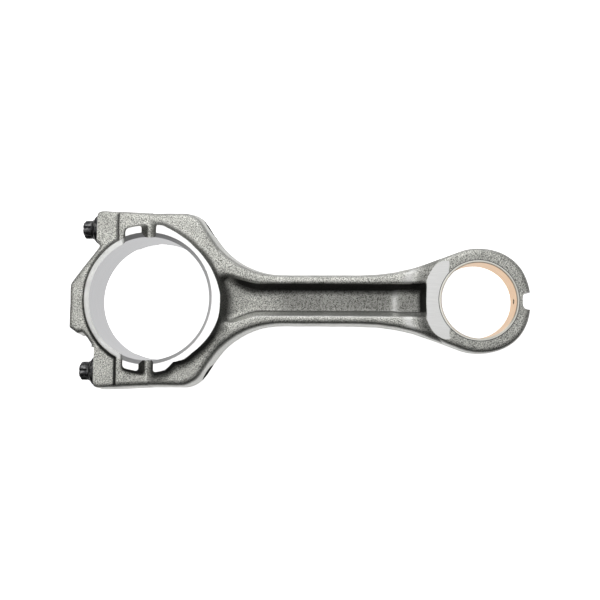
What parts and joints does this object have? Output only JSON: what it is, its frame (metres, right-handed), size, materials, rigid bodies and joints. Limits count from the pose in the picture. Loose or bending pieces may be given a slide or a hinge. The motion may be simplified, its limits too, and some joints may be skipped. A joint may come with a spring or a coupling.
{
  "type": "connecting rod",
  "caption": "Forged I-section connecting rod with a fracture-split bearing cap, flange bolts, machined thrust faces and a tapered small end with a bimetal bush.",
  "frame": {"origin": "centre of the big-end bore, on the parting plane of the forging", "axes": "+X from the big end to the small end, +Z along the bores, +Y across the bolt columns"},
  "size_m": [0.3615, 0.1432, 0.051],
  "materials": {
    "forged_steel": "shot-blasted forging with bright machined faces",
    "bush_steel": "fine turned",
    "bush_bronze": "bored bearing bronze",
    "bolt_steel": "black phosphate"
  },
  "bodies": {
    "rod": {"connecting_rod": "forged_steel", "bush_steel_backing": "bush_steel", "bush_bronze_lining": "bush_bronze"},
    "cap": {"bearing_cap": "forged_steel"},
    "upper_bolt": {"cap_bolt_upper": "bolt_steel"},
    "lower_bolt": {"cap_bolt_lower": "bolt_steel"}
  },
  "joints": [
    {"name": "cap_off", "type": "slide", "parent": "rod", "child": "cap", "axis": [-1, 0, 0], "range_m": [0, 0.06]},
    {"name": "upper_bolt_out", "type": "slide", "parent": "cap", "child": "upper_bolt", "axis": [-1, 0, 0], "range_m": [0, 0.085]},
    {"name": "lower_bolt_out", "type": "slide", "parent": "cap", "child": "lower_bolt", "axis": [-1, 0, 0], "range_m": [0, 0.085]}
  ]
}
